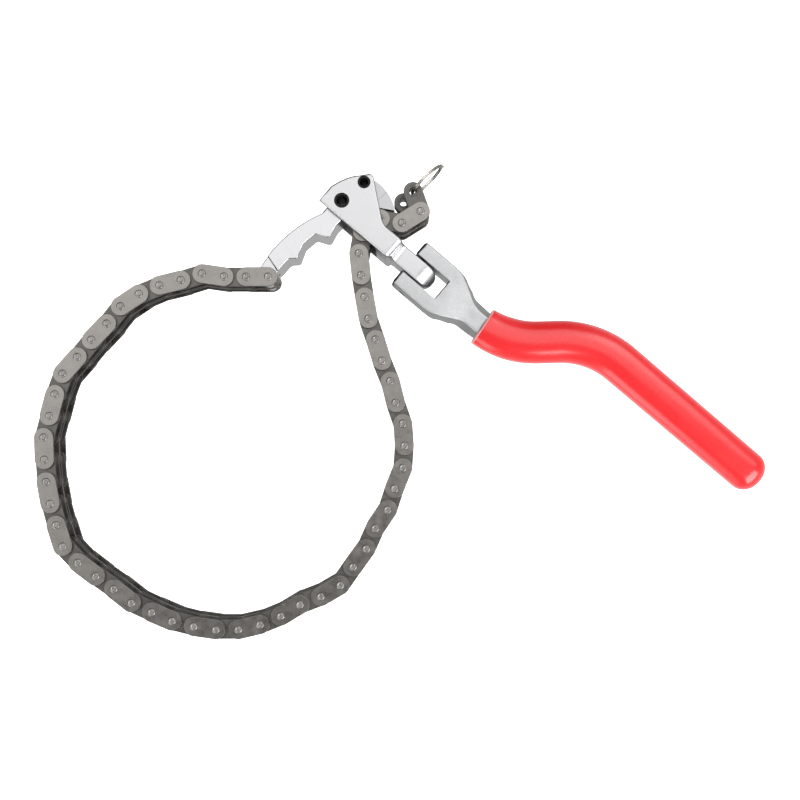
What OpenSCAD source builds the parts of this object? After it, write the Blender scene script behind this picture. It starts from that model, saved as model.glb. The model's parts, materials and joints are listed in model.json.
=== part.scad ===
// Chain oil filter wrench. A cast arm carries a toothed jaw and a spring pawl between two cheeks.
// A duplex roller chain runs from the jaw's tip round the filter, back over the arm's nose and out
// past the pawl to a split ring. A forked handle in a dipped grip swivels on the arm's tongue.
// Millimetres, +Z up, the tool lying on its lower cheek and on the end of its grip. The origin is
// on the jaw pivot's axis, level with the outer face of the lower cheek.

/* [Chain] */
// Distance from one chain pin to the next
chain_pitch = 9.525; // [9.5:0.005:9.55]
// Height of a link plate, and the diameter of its round ends
plate_h = 8.26; // [8:0.02:8.3]
// Thickness of an inner link plate
inner_plate_t = 1.3; // [1.2:0.05:1.3]
// Thickness of an outer link plate
outer_plate_t = 1.2; // [1:0.05:1.25]
// Thickness of the plate between the two strands of an outer link
centre_plate_t = 1.5; // [1.2:0.05:1.6]
// Clear width between a strand's inner plates
inner_width = 5.72; // [5.7:0.02:5.8]
// Distance between the two strands, centre to centre
strand_spacing = 10.24; // [10.2:0.02:10.3]
// Diameter of a roller
roller_d = 6.35; // [6:0.05:6.4]
// Diameter of a bush
bush_d = 4.9; // [4.7:0.05:5]
// Diameter of a chain pin
chain_pin_d = 3.28; // [3.1:0.02:3.3]
// Length of a chain pin, over its riveted heads
chain_pin_l = 22.6; // [22.2:0.1:23]

/* [Arm] */
// Depth of the arm over its two cheeks
arm_depth = 30.4; // [30:0.2:32]
// Thickness of each cheek
cheek_t = 3; // [2.5:0.1:3.2]
// Width of the neck that joins the cheeks
neck_w = 9.8; // [9:0.1:10]
// Radius of the nose that the chain bends over
nose_r = 3.8; // [3:0.1:3.8]
// Width of the tongue that the handle swivels on
tongue_w = 8.5; // [8:0.1:9]
// Thickness of the tongue and of the fork
tongue_t = 17.2; // [16:0.2:18]
// Angle of the arm, from +X
arm_angle = -40.2; // [-41:0.1:-39]

/* [Pins] */
// Diameter of the jaw's pivot pin
jaw_pin_d = 6.5; // [6:0.1:6.8]
// Diameter of the pawl's pivot pin
pawl_pin_d = 5.5; // [5:0.1:5.6]
// Diameter of the handle's swivel pin
hinge_pin_d = 5; // [4.5:0.1:6]
// Wall thickness of the hollow pins
pin_wall = 1; // [0.8:0.1:1.2]

/* [Jaw and pawl] */
// Depth of the jaw
jaw_depth = 21.3; // [20:0.1:22]
// Depth of the jaw's tip, between the chain's outer plates
jaw_tip_depth = 18.4; // [18:0.1:18.6]
// Depth of the pawl
pawl_depth = 22.4; // [21:0.1:23]

/* [Handle] */
// Width of the fork
fork_w = 24; // [23:0.1:25]
// Width of the fork's slot
slot_w = 10; // [9.6:0.1:10.4]
// Width of the bar inside the grip
bar_w = 12; // [11:0.5:12.5]
// Thickness of the bar inside the grip
bar_t = 9; // [8:0.5:10]
// Radius of the two bends in the handle
bend_r = 41; // [38:1:44]
// Angle of each bend
bend_angle = 42; // [40:1:44]
// Full width of the grip, where it is widest
grip_w = 18.8; // [18:0.2:20]
// Full thickness of the grip
grip_t = 15.4; // [14:0.2:16]

/* [Ring] */
// Mean radius of the split ring
ring_r = 9; // [8.5:0.1:9.5]
// Diameter of the ring's wire
ring_wire_d = 0.7; // [0.6:0.05:1]

/* [Hidden] */
$fn = 48;
mid_z = arm_depth / 2;
gap = arm_depth - 2 * cheek_t;
cut = 0.5;            // how far a cutting shape runs past the face it cuts
press = 0.02;         // radial gap of a pressed pin or bush
running = 0.05;       // radial gap of a turning pin

// The chain lies as a run of straight links. These are their directions in whole degrees from +X,
// from the free end, over the nose, down and round the filter clockwise, to the jaw's tip.
link_headings = [
    212, 169, 217, 260,
    276, 279, 280, 289, 287, 292, 284, 289, 274, 266, 248, 252, 236, 246, 234, 235,
    210, 201, 211, 202, 193, 180, 172, 166, 157, 155, 142, 145, 143,
    134, 108, 106, 101, 95, 93, 76, 76, 70, 49, 51,
    47, 52, 34, 23, 14, 17, 352, 0, 0
];
link_count = len(link_headings);
end_pin = [33.9, -3.8];
first_hinged = 49;    // links 50 to 52 are held in the head, between the nose and the pawl
end_heading_upper = 110;
end_heading_lower = 140;

function along(angle) = [cos(angle), sin(angle)];
function next_pin(p, i) = i < link_count ? p + chain_pitch * along(link_headings[i]) : p;
chain_pins = [for (i = 0, p = end_pin; i <= link_count; p = next_pin(p, i), i = i + 1) p];
// Link n runs from chain pin n + 1 to chain pin n, and link 1 ends at the jaw
function pin_at(n) = chain_pins[link_count + 1 - n];
function heading_of(n) = link_headings[link_count - n];

strand_z = strand_spacing / 2;
inner_plate_z = inner_width / 2;
bush_l = inner_width + 2 * inner_plate_t;
outer_plate_z = strand_z + bush_l / 2 + 0.17;

// Points of the arm, along and across it from the centre of the handle's hinge
jaw_pivot_on_arm = [-43.5, 0.7];
pawl_pivot_on_arm = [-41.3, 12.9];
nose_on_arm = [-19.4, -0.3];
neck_shift = -0.5;
neck_end = -15;
step_r = 3.1;

function turned(p, a) = [p.x * cos(a) - p.y * sin(a), p.x * sin(a) + p.y * cos(a)];
hinge_at = -turned(jaw_pivot_on_arm, arm_angle);
pawl_pivot = hinge_at + turned(pawl_pivot_on_arm, arm_angle);
jaw_tip = pin_at(1);

// The handle's bar: straight, a bend to the left, straight, a bend back, and straight to its end
bend_start = 33;
bend_gap = 9.2;
bar_end = 172;
slot_root = 13.3;
grip_start = 37;
grip_end = 183;
bend_l = bend_r * bend_angle * PI / 180;
bend_1_end = bend_start + bend_l;
bend_2_start = bend_1_end + bend_gap;
bend_2_end = bend_2_start + bend_l;
bend_shift = 2 * bend_r * (1 - cos(bend_angle)) + bend_gap * sin(bend_angle);
bend_run = 2 * bend_r * sin(bend_angle) + bend_gap * cos(bend_angle);
bend_saving = bend_2_end - bend_start - bend_run;
// The handle hangs from its hinge until the grip's far end rests level with the lower cheek
handle_drop = asin((mid_z - grip_t / 2) / (grip_end - bend_saving - 12));

function link_name(n) = str(n % 2 == 1 ? "outer_link_" : "inner_link_", n < 10 ? "0" : "", n);

// Points on an arc from p to q that bulges to the left of the way from p to q by the sagitta
function arc_between(p, q, sagitta, steps = 12) =
    let (half = norm(q - p) / 2, r = (half * half + sagitta * sagitta) / (2 * sagitta),
         ahead = (q - p) / norm(q - p), left = [-ahead.y, ahead.x],
         centre = (p + q) / 2 + left * (sagitta - r), reach = asin(half / r))
    [for (i = [0:steps]) let (a = -reach + 2 * reach * i / steps)
        centre + r * (ahead * sin(a) + left * cos(a))];

function arc(centre, r, from, to, steps = 8) =
    [for (i = [0:steps]) centre + r * along(from + (to - from) * i / steps)];

// A closed solid through rings of points, all with the same number of points
module loft(rings) {
    sides = len(rings[0]);
    last = len(rings) - 1;
    points = [for (ring = rings) each ring];
    walls = [for (i = [0:last - 1], j = [0:sides - 1]) let (k = (j + 1) % sides)
        [i * sides + j, (i + 1) * sides + j, (i + 1) * sides + k, i * sides + k]];
    first_cap = [for (j = [0:sides - 1]) j];
    last_cap = [for (j = [sides - 1:-1:0]) last * sides + j];
    polyhedron(points, concat([first_cap, last_cap], walls), convexity = 6);
}

module slot_2d(length, height) {
    circle(d = height);
    translate([length, 0]) circle(d = height);
    translate([0, -height / 2]) square([length, height]);
}

// A link plate of one thickness, from its lower face at z, with a hole at each pin
module link_plate(z, thickness, hole_d) {
    translate([0, 0, z]) linear_extrude(thickness) difference() {
        slot_2d(chain_pitch, plate_h);
        circle(d = hole_d);
        translate([chain_pitch, 0]) circle(d = hole_d);
    }
}

module tube(r_out, r_in, length, z = 0) {
    translate([0, 0, z - length / 2]) difference() {
        cylinder(r = r_out, h = length);
        translate([0, 0, -cut]) cylinder(r = r_in, h = length + 2 * cut);
    }
}

// One strand of an inner link: two plates on two bushes, with a roller on each bush
module inner_strand(z) {
    link_plate(z - inner_plate_z - inner_plate_t, inner_plate_t, bush_d + 2 * press);
    link_plate(z + inner_plate_z, inner_plate_t, bush_d + 2 * press);
    for (x = [0, chain_pitch]) translate([x, 0, 0]) {
        tube(bush_d / 2, chain_pin_d / 2 + running, bush_l, z);
        tube(roller_d / 2, bush_d / 2 + 0.08, inner_width - 0.2, z);
    }
}

module inner_link() {
    color("dimgray") for (z = [-strand_z, strand_z]) inner_strand(z);
}

// An outer link: two outer plates and a centre plate on two riveted pins. At the jaw, the pin is
// cut away between the plates, and only its heads are left
module outer_link(whole_last_pin = true) {
    hole_d = chain_pin_d + 2 * press;
    color("darkgray") {
        link_plate(-outer_plate_z - outer_plate_t, outer_plate_t, hole_d);
        link_plate(outer_plate_z, outer_plate_t, hole_d);
        link_plate(-centre_plate_t / 2, centre_plate_t, hole_d);
        cylinder(d = chain_pin_d, h = chain_pin_l, center = true);
        translate([chain_pitch, 0, 0]) difference() {
            cylinder(d = chain_pin_d, h = chain_pin_l, center = true);
            if (!whole_last_pin) cylinder(d = plate_h, h = 2 * outer_plate_z, center = true);
        }
    }
}

module at_link(n) {
    translate([pin_at(n + 1).x, pin_at(n + 1).y, mid_z]) rotate(heading_of(n)) children();
}

module chain_link(n) {
    at_link(n) if (n % 2 == 1) outer_link(whole_last_pin = n > 1); else inner_link();
}

// The three links that the nose and the pawl hold
module chain_in_head() {
    for (n = [first_hinged + 1:link_count - 1]) chain_link(n);
}

// The free end is two single-strand links on one pin
module end_link(heading, z) {
    color("dimgray") translate([end_pin.x, end_pin.y, mid_z]) rotate(heading) inner_strand(z);
}
module end_link_upper() { end_link(end_heading_upper, strand_z); }
module end_link_lower() { end_link(end_heading_lower, -strand_z); }

// Frame of the arm: origin at the hinge's centre, +X along the arm towards the handle
module in_arm_frame() {
    translate([hinge_at.x, hinge_at.y, mid_z]) rotate(arm_angle) children();
}

module cheek_outline() {
    low = neck_shift - neck_w / 2;
    high = neck_shift + neck_w / 2;
    polygon(concat(
        [[neck_end, low], [neck_end, high]],
        arc([-21.4, high + 6], 6, 270, 232),
        arc([-40.7, 15.5], 2.1, 52, 128),
        [[-45.9, 12.6], [-48.7, 7.1]],
        arc([-49.8, 3.2], 1.2, 150, 180, 3),
        arc([-50.3, low + 0.7], 0.7, 180, 260, 6)
    ));
}

// Outline of the neck seen from its side, from the nose to where it steps down to the tongue
module neck_profile() {
    top = arm_depth / 2;
    shoulder = arc([neck_end, top - step_r], step_r, 90, 0);
    polygon(concat(
        [[nose_on_arm.x, top]], shoulder,
        [for (i = [len(shoulder) - 1:-1:0]) [shoulder[i].x, -shoulder[i].y]],
        [[nose_on_arm.x, -top]]
    ));
}

// Outline of the tongue seen from its side, with the hollow of the step at its root
module tongue_profile() {
    half = tongue_t / 2;
    root = neck_end + step_r;
    hollow = arc([root + step_r, half + step_r], step_r, 180, 270);
    polygon(concat(
        [[root - 1, half + step_r]], hollow, arc([0, 0], half, 90, -90, 24),
        [for (i = [len(hollow) - 1:-1:0]) [hollow[i].x, -hollow[i].y]],
        [[root - 1, -half - step_r]]
    ));
}

module across_arm(width) {
    rotate([90, 0, 0]) linear_extrude(width, center = true) children();
}

module arm() {
    color("silver") in_arm_frame() difference() {
        union() {
            for (z = [-arm_depth / 2, gap / 2]) translate([0, 0, z]) linear_extrude(cheek_t)
                cheek_outline();
            translate([0, neck_shift, 0]) across_arm(neck_w) neck_profile();
            translate([nose_on_arm.x, nose_on_arm.y, -arm_depth / 2])
                cylinder(r = nose_r, h = arm_depth);
            across_arm(tongue_w) tongue_profile();
        }
        translate(jaw_pivot_on_arm)
            cylinder(r = jaw_pin_d / 2 + press, h = arm_depth + 2 * cut, center = true);
        translate(pawl_pivot_on_arm)
            cylinder(r = pawl_pin_d / 2 + press, h = arm_depth + 2 * cut, center = true);
        rotate([90, 0, 0])
            cylinder(r = hinge_pin_d / 2 + press, h = fork_w, center = true);
    }
}

// A hollow spring pin with a slit along one side
module roll_pin(diameter, length) {
    difference() {
        tube(diameter / 2, diameter / 2 - pin_wall, length);
        translate([diameter / 2, 0, 0]) cube([diameter, 0.8, length + 2 * cut], center = true);
    }
}

// The pawl's torsion spring: a coil round the pawl's pin, with one leg behind the pawl and the
// other bent up against the inner face of the upper cheek
module pawl_spring() {
    wire_r = 0.3;
    coil_r = pawl_pin_d / 2 + 0.45;
    coils = 4;
    pitch = 0.7;
    steps = 16;
    coil = [for (i = [0:coils * steps]) let (a = 200 - 360 * i / steps)
        [coil_r * cos(a), coil_r * sin(a), pitch * (i / steps - coils / 2)]];
    last = coil[len(coil) - 1];
    path = concat([coil[0] + [-0.3, -3, 0]], coil,
        [last + [-1.4, 2, 0.2], last + [-1.6, 2.4, 1.2], last + [-1.6, 2.4, 10.2]]);
    loft([for (i = [0:len(path) - 1])
        let (before = path[max(i - 1, 0)], after = path[min(i + 1, len(path) - 1)],
             ahead = (after - before) / norm(after - before),
             side = abs(ahead.z) > 0.9 ? [0, 1, 0] : [0, 0, 1],
             right = cross(ahead, side) / norm(cross(ahead, side)), up = cross(ahead, right))
        [for (a = [0:60:300]) path[i] + wire_r * (right * cos(a) + up * sin(a))]]);
}

module head_pins_and_spring() {
    color("#202020") {
        in_arm_frame() {
            translate(jaw_pivot_on_arm) rotate(150) roll_pin(jaw_pin_d, arm_depth);
            translate(pawl_pivot_on_arm) rotate(150) roll_pin(pawl_pin_d, arm_depth);
            rotate([90, 0, 0]) rotate(90) roll_pin(hinge_pin_d, fork_w - 0.8);
        }
        translate([pawl_pivot.x, pawl_pivot.y, mid_z]) pawl_spring();
    }
}

// The jaw's outline: a hub on its pivot, a curved back, two teeth and a round tip
module jaw_outline() {
    circle(r = 5.6);
    translate(jaw_tip) circle(r = 3.8);
    polygon(concat(
        arc_between([jaw_tip.x - 3.9, jaw_tip.y + 3.6], [-8.5, -4.6], 2.85),
        [[-7, -2.9], [-5.5, -1], [2.6, -4.9], [-2.6, -10], [-5.1, -14.6], [-5.7, -15.1], [-7, -15.2],
         [-11.3, -13.9], [-12.4, -14.2], [-16.8, -18], [-18.8, -23.4], [-19.6, -24.4], [-22.6, -24.6],
         [-24, -25.4], [-28.4, -30.6], [jaw_tip.x + 1.8, jaw_tip.y - 3.35]]
    ));
}

// Everything past the jaw's step, on the side of its tip
module past_jaw_step(depth) {
    translate([-29.9, -26.4, 0]) rotate(-55.5) translate([0, -10, 0])
        cube([40, 20, depth], center = true);
}

module jaw() {
    tip_z = jaw_tip_depth / 2;
    color("gainsboro") translate([0, 0, mid_z]) {
        difference() {
            linear_extrude(jaw_depth, center = true) jaw_outline();
            cylinder(r = jaw_pin_d / 2 + running, h = jaw_depth + 2 * cut, center = true);
            for (z = [-tip_z - 5, tip_z + 5]) translate([0, 0, z]) past_jaw_step(10);
            past_jaw_step(centre_plate_t + 0.5);
            translate([jaw_tip.x, jaw_tip.y, 0])
                cylinder(r = chain_pin_d / 2 + press, h = jaw_depth, center = true);
        }
        // the chain's anchor pin, in two halves beside the slot
        for (z = [-1, 1]) translate([jaw_tip.x, jaw_tip.y, z * (centre_plate_t + 0.5 + jaw_tip_depth) / 4])
            cylinder(d = chain_pin_d, h = (jaw_tip_depth - centre_plate_t - 0.5) / 2, center = true);
    }
}

// The pawl's outline without its hub: a curved back and a flat foot on the chain
module pawl_outline() {
    polygon(concat(
        [[22.4, -3.65], [15.2, -2.3], [12.6, -1.2], [6.5, 5.9]],
        arc_between([10.6, 11.1], [22.7, -3.3], 2.5)
    ));
}

module pawl() {
    color("gainsboro") translate([0, 0, mid_z]) difference() {
        union() {
            linear_extrude(pawl_depth, center = true) pawl_outline();
            translate(pawl_pivot) cylinder(r = 3.5, h = pawl_depth, center = true);
        }
        translate(pawl_pivot)
            cylinder(r = pawl_pin_d / 2 + running, h = pawl_depth + 2 * cut, center = true);
        // room for the spring's coil and its lower leg
        translate(pawl_pivot) cylinder(r = 4.2, h = 4.4, center = true);
        translate([pawl_pivot.x - 4, pawl_pivot.y - 3.5, 0]) cube([5.4, 8, 4.4], center = true);
        for (z = [-pawl_depth / 2, pawl_depth / 2]) translate([17.7, 2.6, z]) rotate(41)
            cube([9, 0.7, 1], center = true);
    }
}

// Frame of the handle: origin at the hinge's centre, +X along the fork
module in_handle_frame() {
    in_arm_frame() rotate([0, handle_drop, 0]) children();
}

// The fork's edge at its parting line: [distance from the hinge, half the width] from tine to neck
fork_side = let (half = fork_w / 2) concat(
    arc([-3.9, half - 1.5], 1.5, 180, 90, 4),
    [[9, half], [12.5, half]],
    arc([15.5, half - 8], 8, 90, 52, 6),
    arc([29.6, 14.9], 8, 232, 270, 6),
    [[33, 6.7], [36, 6.5], [grip_start + 3, 6.4]]
);

// The fork's section: a flat top and bottom, and sides drafted to the parting line
function fork_section(edge) =
    let (top = min(edge.y - 0.6, lookup(edge.x, [[13, 11.4], [17, 10.9], [24, 6.3], [27, 4.4], [33, 3.9]])),
         tall = lookup(edge.x, [[9, tongue_t / 2], [17, 8], [27, 6.3], [36, 5.2]]))
    [[edge.y, -1], [edge.y, 1], [top, tall], [-top, tall],
     [-edge.y, 1], [-edge.y, -1], [-top, -tall], [top, -tall]];

// The handle's centre line: [x, y, heading] after a length s along it
function handle_line(s) =
    s <= bend_start ? [s, 0, 0] :
    s <= bend_1_end ? let (a = (s - bend_start) / bend_r * 180 / PI)
        [bend_start + bend_r * sin(a), bend_r * (1 - cos(a)), a] :
    s <= bend_2_start ? let (t = s - bend_1_end)
        [bend_start + bend_r * sin(bend_angle) + t * cos(bend_angle),
         bend_r * (1 - cos(bend_angle)) + t * sin(bend_angle), bend_angle] :
    s <= bend_2_end ? let (a = bend_angle - (s - bend_2_start) / bend_r * 180 / PI)
        [bend_start + bend_run - bend_r * sin(a), bend_shift - bend_r * (1 - cos(a)), a] :
    [s - bend_saving, bend_shift, 0];

// A ring round the handle's centre line, from offsets to its left and upwards
function ring_round(s, offsets) =
    let (at = handle_line(s), left = [-sin(at[2]), cos(at[2]), 0])
    [for (o = offsets) [at[0], at[1], 0] + left * o.x + [0, 0, o.y]];

// Corners of an oblong of that half width x and half thickness y, with its corners cut off by c
function chamfered(x, y, c) =
    [[x, c - y], [x, y - c], [x - c, y], [c - x, y], [-x, y - c], [-x, c - y], [c - x, -y], [x - c, -y]];

bar_line = concat([for (s = [grip_start + 7:4:bar_end - 1]) s], [bar_end]);

module handle() {
    past_tines = 10;
    color("silver") in_handle_frame() difference() {
        loft(concat(
            [for (edge = fork_side) ring_round(edge.x, fork_section(edge))],
            [for (s = bar_line) ring_round(s, chamfered(bar_w / 2, bar_t / 2, 2))]));
        across_arm(slot_w) translate([-past_tines, -tongue_t])
            square([past_tines + slot_root, 2 * tongue_t]);
        rotate([90, 0, 0])
            cylinder(r = hinge_pin_d / 2 + running, h = fork_w + 2, center = true);
    }
}

// Half the grip's width: a little less at its mouth and at its end
function grip_half_w(s) =
    let (swell = grip_w / 2) lookup(s, [
        [grip_start, 0.95 * swell], [50, swell], [bend_2_end, swell], [grip_end, 0.96 * swell]]);
function grip_half_t(s) =
    lookup(s, [[grip_start, 0.86 * grip_t / 2], [60, 0.94 * grip_t / 2], [bend_2_end, grip_t / 2],
               [grip_end, 0.96 * grip_t / 2]]);

function oval(half_w, half_t, sides = 24) =
    [for (i = [0:sides - 1]) let (c = cos(360 * i / sides), d = sin(360 * i / sides))
        [half_w * sign(c) * pow(abs(c), 0.85), half_t * sign(d) * pow(abs(d), 0.85)]];

module grip() {
    tip = 7.5;
    round_bar = 0.1;      // gap between the bar and the hollow that it fills
    ends = [for (a = [0:15:75]) [grip_end - tip + tip * sin(a), cos(a)]];
    body = [for (s = [grip_start:4:grip_end - tip - 3]) [s, 1]];
    color("red") in_handle_frame() difference() {
        loft([for (r = concat(body, ends, [[grip_end - 0.02, 0.12]]))
            ring_round(r[0], oval(grip_half_w(r[0]) * r[1], grip_half_t(r[0]) * r[1]))]);
        // the hollow: wide over the fork's neck, and then a little wider than the bar
        loft(concat(
            [for (s = [grip_start - 1, grip_start + 3]) ring_round(s, chamfered(7, 5.8, 3.2))],
            [for (s = bar_line) ring_round(s + (s == bar_end ? cut : 0),
                chamfered(bar_w / 2 + round_bar, bar_t / 2 + round_bar, 2))]));
    }
}

// Two turns of wire through the end link's bush, standing nearly upright
module split_ring() {
    turns = 2;
    steps = 40;
    lie = 43;
    lean = 3;
    hole = end_pin + chain_pitch * along(end_heading_upper);
    pitch = ring_wire_d + 0.06;
    out = [cos(lie), sin(lie), 0];
    side = [-sin(lie), cos(lie), 0];
    upright = [0, 0, cos(lean)] + side * sin(lean);
    across = cross(upright, out);
    centre = [hole.x, hole.y, mid_z + strand_z] + (ring_r - 0.5) * out;
    color("gainsboro") loft([for (i = [0:turns * steps])
        let (a = 360 * i / steps, radial = out * cos(a) + upright * sin(a),
             lead = pitch * (i / steps - turns / 2))
        [for (b = [0:45:315]) centre + radial * (ring_r + ring_wire_d / 2 * cos(b))
            + across * (lead + ring_wire_d / 2 * sin(b))]]);
}

arm();
head_pins_and_spring();
jaw();
pawl();
handle();
grip();
chain_in_head();
chain_link(link_count);  // outer_link_53
end_link_upper();
end_link_lower();
split_ring();
for (n = [first_hinged:-1:1])
    chain_link(n);
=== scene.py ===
"""The looks of a chain oil filter wrench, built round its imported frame. Helper sizes are in millimetres,
and to_m() turns them into the frame's metres."""

import json
import math

import bmesh
import bpy
from mathutils import Matrix, Vector


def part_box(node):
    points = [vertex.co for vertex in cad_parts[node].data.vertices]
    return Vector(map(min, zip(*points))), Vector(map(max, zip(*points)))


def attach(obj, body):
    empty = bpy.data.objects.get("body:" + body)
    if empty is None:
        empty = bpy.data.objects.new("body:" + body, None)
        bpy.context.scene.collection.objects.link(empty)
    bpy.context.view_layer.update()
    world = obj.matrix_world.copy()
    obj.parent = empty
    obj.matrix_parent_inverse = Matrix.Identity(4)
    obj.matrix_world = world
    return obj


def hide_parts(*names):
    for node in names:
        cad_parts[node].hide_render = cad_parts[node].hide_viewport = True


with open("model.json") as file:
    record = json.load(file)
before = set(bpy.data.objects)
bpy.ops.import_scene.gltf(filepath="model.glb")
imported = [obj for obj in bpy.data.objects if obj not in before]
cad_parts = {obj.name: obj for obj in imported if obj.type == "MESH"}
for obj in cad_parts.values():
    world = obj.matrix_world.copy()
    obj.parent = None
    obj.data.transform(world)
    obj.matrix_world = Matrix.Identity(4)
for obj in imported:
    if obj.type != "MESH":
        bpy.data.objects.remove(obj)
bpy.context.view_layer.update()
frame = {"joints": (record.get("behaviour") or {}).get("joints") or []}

MM = 0.001

# ---------------------------------------------------------------- places, from the frame


def joint_at(name):
    """A joint's place, in millimetres."""
    for joint in frame["joints"]:
        if joint["name"] == name:
            return Vector(joint["pos_m"]) / MM
    raise KeyError(name)


def joint_axis(name):
    """The unit vector that a joint turns about."""
    for joint in frame["joints"]:
        if joint["name"] == name:
            return Vector(joint["axis"]).normalized()
    raise KeyError(name)


def along(angle):
    """The unit vector in XY at that many degrees from +X."""
    return Vector((math.cos(math.radians(angle)), math.sin(math.radians(angle)), 0))


ARM_BOX = [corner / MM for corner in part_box("arm")]
ARM_DEPTH = ARM_BOX[1].z - ARM_BOX[0].z
MID_Z = (ARM_BOX[0].z + ARM_BOX[1].z) / 2
HINGE = joint_at("handle_swivel")
SWIVEL = joint_axis("handle_swivel")
ARM_ANGLE = math.degrees(math.atan2(-SWIVEL.x, SWIVEL.y))
JAW_PIVOT = joint_at("jaw_pivot")
PAWL_PIVOT = joint_at("pawl_pivot")
PITCH = (joint_at("chain_pin_03") - joint_at("chain_pin_02")).length

# Links 50 to 52 lie in the head, so no joint marks the pins between them: these are their headings
HEADING_52 = 169
HEADING_51 = 217
HEAD_LINKS = (50, 51, 52)
LAST_LINK = 53


def chain_pins():
    """The chain's pins by number, from 1 at the jaw to 54 at the free end."""
    pins = {n: joint_at(f"chain_pin_{n:02d}") for n in range(2, 51)}
    pins[53] = joint_at("free_end_pivot")
    pins[54] = joint_at("end_link_upper_pivot")
    pins[52] = pins[53] + PITCH * along(HEADING_52)
    pins[51] = pins[52] + PITCH * along(HEADING_51)
    pins[1] = pins[2] + (pins[2] - pins[3]).normalized() * PITCH
    return pins


PINS = chain_pins()

# ---------------------------------------------------------------- materials


def new_material(name):
    """A material, its node tree and its shader node."""
    material = bpy.data.materials.new(name)
    material.use_nodes = True
    tree = material.node_tree
    return material, tree, tree.nodes["Principled BSDF"]


def link_nodes(tree, a, out, b, into):
    tree.links.new(a.outputs[out], b.inputs[into])


def object_coordinates(tree, per_object):
    """Object coordinates, moved by a random step per object so that no two links look alike."""
    coords = tree.nodes.new("ShaderNodeTexCoord")
    if not per_object:
        return coords, "Object"
    info = tree.nodes.new("ShaderNodeObjectInfo")
    shift = tree.nodes.new("ShaderNodeVectorMath")
    shift.operation = "ADD"
    step = tree.nodes.new("ShaderNodeVectorMath")
    step.operation = "SCALE"
    step.inputs[0].default_value = (0.3, 0.5, 0.7)
    link_nodes(tree, info, "Random", step, "Scale")
    link_nodes(tree, coords, "Object", shift, 0)
    link_nodes(tree, step, "Vector", shift, 1)
    return shift, "Vector"


def noise(tree, source, scale, detail):
    """Noise whose features are about 1/scale metres wide."""
    node, socket = source
    texture = tree.nodes.new("ShaderNodeTexNoise")
    texture.inputs["Scale"].default_value = scale
    texture.inputs["Detail"].default_value = detail
    link_nodes(tree, node, socket, texture, "Vector")
    return texture


def ramp(tree, source, stops, out="Fac"):
    """Colours by value, from pairs of a place and a colour."""
    node = tree.nodes.new("ShaderNodeValToRGB")
    elements = node.color_ramp.elements
    while len(elements) < len(stops):
        elements.new(0.5)
    for element, (place, colour) in zip(elements, stops):
        element.position = place
        element.color = (*colour, 1)
    link_nodes(tree, source, out, node, "Fac")
    return node


def mixed(tree, a, b, blend):
    """Two colours mixed in full by that blend type."""
    mix = tree.nodes.new("ShaderNodeMix")
    mix.data_type = "RGBA"
    mix.blend_type = blend
    mix.inputs["Factor"].default_value = 1
    link_nodes(tree, a, "Color", mix, "A")
    link_nodes(tree, b, "Color", mix, "B")
    return mix


def add_skin(tree, shader, height, strength, depth):
    """A bumpy skin of that depth in metres."""
    skin = tree.nodes.new("ShaderNodeBump")
    skin.inputs["Strength"].default_value = strength
    skin.inputs["Distance"].default_value = depth
    link_nodes(tree, height, "Fac", skin, "Height")
    link_nodes(tree, skin, "Normal", shader, "Normal")


def grey(value):
    return (value, value, value)


def scaled(colour, factor):
    return tuple(min(1.0, channel * factor) for channel in colour)


BLOTCH = 260  # features a metre
BLOTCH_LOW, BLOTCH_HIGH = 0.3, 0.7  # the part of the noise's range that the ramps use
METAL_DEPTH = 0.05 * MM


def metal(name, colour, roughness, grain, bump, spread=0.08, speckle=None, per_object=False, metallic=1.0):
    """Satin metal: mottled colour and roughness, and a fine bumpy skin with that many grains a metre."""
    material, tree, shader = new_material(name)
    source = object_coordinates(tree, per_object)
    shader.inputs["Metallic"].default_value = metallic
    blotches = noise(tree, source, BLOTCH, 4)
    tint = ramp(tree, blotches, [
        (BLOTCH_LOW, scaled(colour, 1 - spread)), (BLOTCH_HIGH, scaled(colour, 1 + spread)),
    ])
    fine = noise(tree, source, grain, 2)
    if speckle:
        sparks = ramp(tree, fine, [(0.60, grey(0)), (0.72, grey(speckle))])
        link_nodes(tree, mixed(tree, tint, sparks, "ADD"), "Result", shader, "Base Color")
    else:
        link_nodes(tree, tint, "Color", shader, "Base Color")
    sheen = ramp(tree, blotches, [
        (BLOTCH_LOW, grey(roughness - 0.05)), (BLOTCH_HIGH, grey(roughness + 0.05)),
    ])
    link_nodes(tree, sheen, "Color", shader, "Roughness")
    add_skin(tree, shader, fine, bump, METAL_DEPTH)
    return material


def grip_plastic():
    """Dipped plastic: deep red, glossy, with the faint long waves that dipping leaves."""
    material, tree, shader = new_material("grip_red")
    source = object_coordinates(tree, False)
    blotches = noise(tree, source, 60, 3)
    tint = ramp(tree, blotches, [(0, (0.86, 0.008, 0.013)), (1, (0.94, 0.014, 0.02))])
    link_nodes(tree, tint, "Color", shader, "Base Color")
    gloss = ramp(tree, blotches, [(0, grey(0.24)), (1, grey(0.32))])
    link_nodes(tree, gloss, "Color", shader, "Roughness")
    for socket, value in (
        ("Coat Weight", 1.0), ("Coat Roughness", 0.2),
        ("Sheen Weight", 0.5), ("Sheen Roughness", 0.4), ("Sheen Tint", (1.0, 0.85, 0.85, 1)),
    ):
        shader.inputs[socket].default_value = value
    add_skin(tree, shader, noise(tree, source, 140, 1), 0.05, 0.1 * MM)
    return material


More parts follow.
